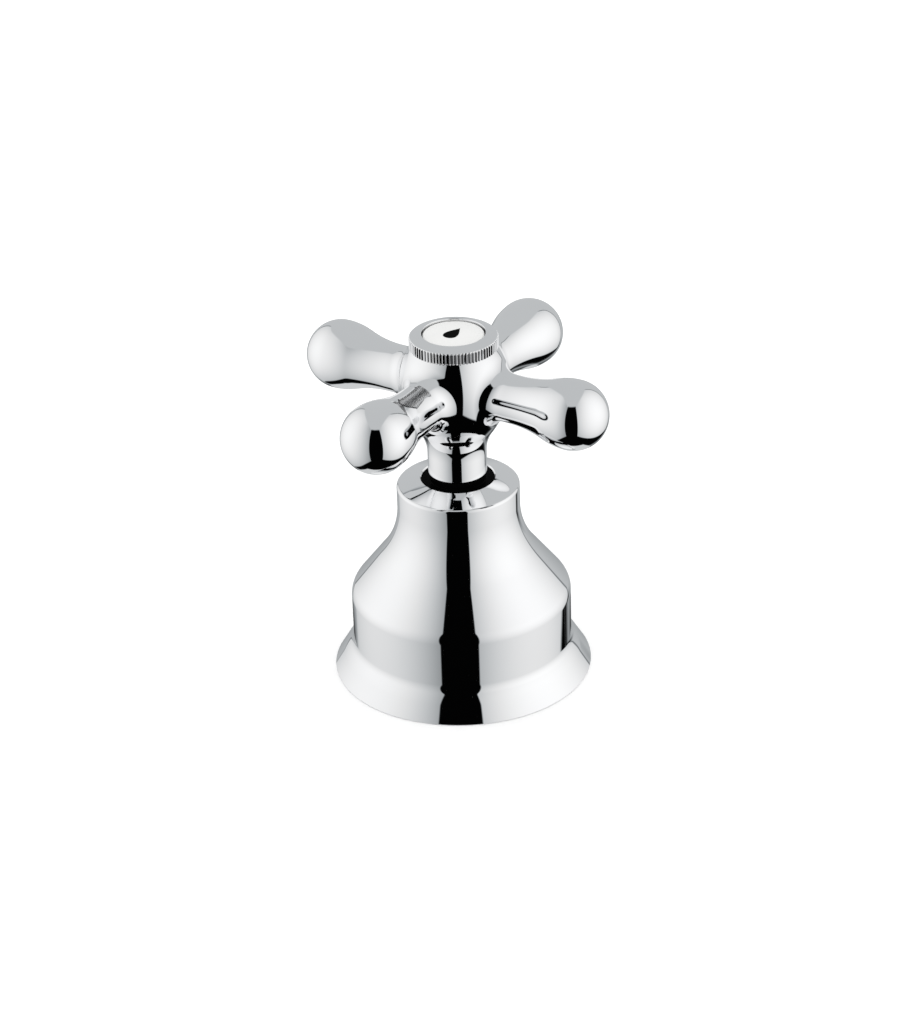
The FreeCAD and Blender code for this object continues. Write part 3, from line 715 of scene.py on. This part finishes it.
# the pieces inside keep their CAD shapes
insideFinish = (
    (blackRubber, ("base_gasket", "headwork_seal_ring", "seat_seal", "spindle_orings", "index_ring_seal")),
    (turnedBrass, ("extension_sleeve", "headwork_body", "spindle", "spindle_extension")),
    (groundCeramic, ("fixed_ceramic_disc", "moving_ceramic_disc")),
    (whitePlastic, ("friction_washer", "spline_insert")),
    (groundSteel, ("stem_circlip", "extension_grub_screw", "handle_screw", "lock_washer")),
)
for material, names in insideFinish:
    for name in names:
        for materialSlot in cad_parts[name].material_slots:
            materialSlot.material = material
print("pieces inside finished")


# where the camera stands, by its turn, height and lean; the aim is a point in its own upright plane
view = {
    "azimuth": 34.1, "elevation": 28.53, "roll": -1.781, "aimRight": 0.218, "aimHeight": 38.26,
    "distance": 714.8, "focalLength": 108.67, "clipStart": 50.0,
}


def makeCamera():
    turnAbout = Matrix.Rotation(math.radians(view["azimuth"]), 4, "Z")
    lift = math.radians(view["elevation"])
    tilt = math.radians(view["roll"])
    back = Vector((0, -math.cos(lift), math.sin(lift)))
    up = Vector((0, math.sin(lift), math.cos(lift)))
    right = Vector((1, 0, 0)) * math.cos(tilt) + up * math.sin(tilt)
    place = (Vector((view["aimRight"], 0, view["aimHeight"])) + back * view["distance"]) * mm
    lens = bpy.data.cameras.new("camera")
    lens.lens = view["focalLength"]
    lens.clip_start = view["clipStart"] * mm
    camera = bpy.data.objects.new("camera", lens)
    bpy.context.scene.collection.objects.link(camera)
    axes = Matrix((right, back.cross(right), back)).transposed().to_4x4()
    camera.matrix_world = turnAbout @ Matrix.Translation(place) @ axes
    bpy.context.scene.camera = camera
    bpy.context.scene.view_settings.view_transform = "Standard"
    bpy.context.scene.view_settings.look = "None"


def makeFloor(width=6000.0):
    deselectAll()
    bpy.ops.mesh.primitive_plane_add(size=width * mm)
    floor = newest("floor")
    floor.data.materials.append(finish("pale_floor", {
        "dark": (0.96, 0.96, 0.96), "light": (0.98, 0.98, 0.98), "patchScale": 3,
        "roughness": (0.7, 0.8), "wearScale": 20, "ior": 1.2}))
    floor.visible_glossy = False


# A product photographer's light tent: a tall drum round the tap, seen only in reflections. Places on it are
# angles from the drum's middle, 0 towards the camera, minus to its left. A name that ends with Soft is the
# width of a soft edge, one that ends with Over the stretch in which something comes on.
studio = {
    "radius": 250.0, "middle": 60.0, "halfHeight": 1450.0, "facets": 128,
    # the two soft boxes and the gap between them; peak and dim are brightness, and so are the greys below
    "leftBox": {"peak": 1.03, "dim": 0.42, "reach": 75.0,
                "foot": -40.0, "dip": 20.0, "dipAt": 65.0, "dipReach": 70.0},
    "rightBox": {"peak": 1.1, "dim": 0.64, "reach": 63.0,
                 "foot": -38.0, "dip": 12.0, "dipAt": 50.0, "dipReach": 55.0},
    "leftGap": -22.4, "leftEnd": -152.0, "rightGap": 15.0, "rightEnd": 133.0, "gapLean": 0.02,
    "endShift": 9.0, "endShiftBelow": 10.0, "endShiftOver": 45.0,
    "brightestHeight": 10.0, "upDownReach": 100.0, "boxSoft": 1.5, "footSoft": 3.0,
    "gapTop": 51.0, "boxTop": 66.0, "boxTopSoft": 5.0, "leftFacing": -82.0, "rightFacing": 72.0,
    # the ceiling, and the backdrop behind the boxes
    "ceiling": 0.57, "backdrop": 0.3, "backdropFrom": 132.0, "backdropOver": 48.0,
    "backdropTop": -8.0, "backdropSoft": 16.0, "dark": 0.0008, "crisp": 1.0,
    "endLine": 0.2, "endLineWidth": 3.0, "endLineTop": 48.0, "endLineSoft": 6.0,
    "wideLineTop": -20.0, "wideLineOver": 10.0, "wideLineWidth": 9.0, "wideLineSoft": 14.0,
    # the dark band below them and the pale table
    "bandFrom": 150.0, "bandFromSoft": 30.0, "bandTop": -36.0, "bandTopSoft": 4.0,
    "table": 0.67, "tableFrom": 90.0, "tableFromSoft": 10.0,
    "tableAtSide": -72.0, "tableRise": 34.0, "tableRiseOver": 75.0, "tableSoft": 3.0,
    # the tint of its dim parts
    "dimColour": (0.95, 1.0, 1.03, 1), "dimmest": 0.3, "palest": 0.85,
    "softLight": 1.3,
}


def tentLight(tree):
    # the tent's brightness, worked out from where each spot of it lies
    s = studio
    spot = addNode(tree, "ShaderNodeTexCoord")
    parts = addNode(tree, "ShaderNodeSeparateXYZ")
    tree.links.new(spot.outputs["Object"], parts.inputs["Vector"])

    def reckon(operation, *inputs, clamp=False):
        node = addNode(tree, "ShaderNodeMath", operation=operation, use_clamp=clamp)
        for slot, value in enumerate(inputs):
            if isinstance(value, (int, float)):
                node.inputs[slot].default_value = value
            else:
                tree.links.new(value, node.inputs[slot])
        return node.outputs["Value"]

    def plus(first, second):
        return reckon("ADD", first, second)

    def minus(first, second):
        return reckon("SUBTRACT", first, second)

    def times(first, second):
        return reckon("MULTIPLY", first, second)

    def greater(first, second):
        return reckon("MAXIMUM", first, second)

    def opposite(share):
        return minus(1.0, share)

    def above(value, edge, soft):
        # 0 below the edge and 1 above it, with a soft step between
        return mapRange(tree, minus(value, edge), -soft / 2, soft / 2, interpolation_type="SMOOTHSTEP")

    def rising(value, start, over):
        # 0 up to the start, then evenly up to 1 over a stretch, which is negative where it runs downwards
        return reckon("DIVIDE", minus(value, start), over, clamp=True)

    def mixed(share, first, second):
        return plus(times(opposite(share), first), times(share, second))

    def hump(value, middle, reach):
        # 1 at the middle, 0 at a reach to either side, negative beyond
        off = reckon("DIVIDE", minus(value, middle), reach)
        return opposite(times(off, off))

    degrees = 180 / math.pi
    turn = times(reckon("ARCTAN2", parts.outputs["X"], times(parts.outputs["Y"], -1.0)), degrees)
    height = times(reckon("ARCTAN2", parts.outputs["Z"], s["radius"] * mm), degrees)
    away = reckon("ABSOLUTE", turn)

    def softBox(fromGap, width, box):
        # brightest in its middle, dimmer towards its edges, its lower edge a shallow curve
        glow = mixed(hump(fromGap, box["reach"], box["reach"]), box["dim"], box["peak"])
        glow = greater(times(glow, hump(height, s["brightestHeight"], s["upDownReach"])), 0.0)
        inside = times(above(fromGap, 0.0, s["boxSoft"]), opposite(above(fromGap, width, s["boxSoft"])))
        foot = plus(box["foot"], times(hump(fromGap, box["dipAt"], box["dipReach"]), -box["dip"]))
        return glow, times(inside, above(height, foot, s["footSoft"]))

    fromLeft = minus(s["leftGap"], turn)
    fromRight = plus(minus(turn, s["rightGap"]), times(height, s["gapLean"]))
    shift = rising(height, s["endShiftBelow"], -s["endShiftOver"])
    leftEnd = plus(times(shift, s["endShift"]), s["leftEnd"])
    leftGlow, leftShare = softBox(fromLeft, minus(s["leftGap"], leftEnd), s["leftBox"])
    rightGlow, rightShare = softBox(fromRight, s["rightEnd"] - s["rightGap"], s["rightBox"])

    # dark in the gap and the ceiling's grey behind the boxes, darker towards the back low down
    lowDown = opposite(above(height, s["backdropTop"], s["backdropSoft"]))
    rearShare = times(rising(away, s["backdropFrom"], s["backdropOver"]), lowDown)
    ceiling = mixed(rearShare, s["ceiling"], s["backdrop"])
    behindLeft = above(minus(leftEnd, turn), 0.0, s["crisp"])
    behindRight = above(turn, s["rightEnd"], s["crisp"])
    light = mixed(greater(behindLeft, behindRight), s["dark"], ceiling)
    light = mixed(leftShare, light, leftGlow)
    light = mixed(rightShare, light, rightGlow)

    # a thin grey line where each box ends, and low down a wide dark one at the right
    lower = rising(height, s["wideLineTop"], -s["wideLineOver"])
    leftLine, rightLine = (hump(turn, end, s["endLineWidth"] / 2) for end in (leftEnd, s["rightEnd"]))
    endLines = times(greater(greater(leftLine, rightLine), 0.0), opposite(lower))
    endLines = times(endLines, opposite(above(height, s["endLineTop"], s["endLineSoft"])))
    light = mixed(endLines, light, s["endLine"])
    wideLine = times(above(turn, s["rightEnd"], s["crisp"]),
                     above(minus(s["rightEnd"] + s["wideLineWidth"], turn), 0.0, s["wideLineSoft"]))
    light = mixed(times(wideLine, lower), light, s["dark"])

    # above: the boxes are flat, so their straight top edges are arches as the tap sees them
    atRight = above(turn, 0.0, s["crisp"])
    fromFacing = mixed(atRight, minus(turn, s["leftFacing"]), minus(turn, s["rightFacing"]))
    steepest = math.tan(math.radians(s["boxTop"]))
    arch = times(reckon("COSINE", reckon("DIVIDE", fromFacing, degrees)), steepest)
    inGap = times(above(times(fromLeft, -1.0), 0.0, s["crisp"]),
                  above(times(fromRight, -1.0), 0.0, s["crisp"]))
    top = mixed(inGap, times(reckon("ARCTANGENT", arch), degrees), s["gapTop"])
    light = mixed(above(height, top, s["boxTopSoft"]), light, ceiling)

    # below: a dark band at the back, and the pale table, whose edge rises towards the back
    band = times(above(away, s["bandFrom"], s["bandFromSoft"]),
                 opposite(above(height, s["bandTop"], s["bandTopSoft"])))
    light = mixed(band, light, s["dark"])
    past = reckon("DIVIDE", greater(minus(away, s["tableFrom"]), 0.0), s["tableRiseOver"])
    tableEdge = plus(s["tableAtSide"], times(times(past, past), s["tableRise"]))
    onTable = times(opposite(above(height, tableEdge, s["tableSoft"])),
                    above(away, s["tableFrom"], s["tableFromSoft"]))
    return mixed(onTable, light, s["table"])


def makeTent():
    s = studio
    deselectAll()
    bpy.ops.mesh.primitive_cylinder_add(vertices=s["facets"], radius=s["radius"] * mm,
                                        depth=2 * s["halfHeight"] * mm, location=(0, 0, s["middle"] * mm),
                                        rotation=(0, 0, math.radians(view["azimuth"])))
    tent = newest("light_tent")
    tent.visible_camera = tent.visible_diffuse = tent.visible_shadow = tent.visible_transmission = False
    material, tree, shader = newMaterial("tent_light")
    material.cycles.emission_sampling = "NONE"
    tree.nodes.remove(shader)
    tent.data.materials.append(material)
    shine = addNode(tree, "ShaderNodeEmission")
    light = tentLight(tree)
    tint = addNode(tree, "ShaderNodeMix", data_type="RGBA", blend_type="MIX")  # its dim parts are bluish
    tint.inputs["A"].default_value = s["dimColour"]
    tint.inputs["B"].default_value = (1, 1, 1, 1)
    tree.links.new(mapRange(tree, light, s["dimmest"], s["palest"]), tint.inputs["Factor"])
    tree.links.new(tint.outputs["Result"], shine.inputs["Color"])
    tree.links.new(light, shine.inputs["Strength"])
    tree.links.new(shine.outputs["Emission"], tree.nodes["Material Output"].inputs["Surface"])


def makeSoftLight():
    # an even light from all sides, for what isn't chrome
    world = bpy.data.worlds.new("soft_light")
    bpy.context.scene.world = world
    world.use_nodes = True
    soft = world.node_tree.nodes["Background"]
    soft.inputs["Color"].default_value = (1, 1, 1, 1)
    soft.inputs["Strength"].default_value = studio["softLight"]


makeCamera()
makeFloor()
makeTent()
makeSoftLight()
print("floor, light and camera made")
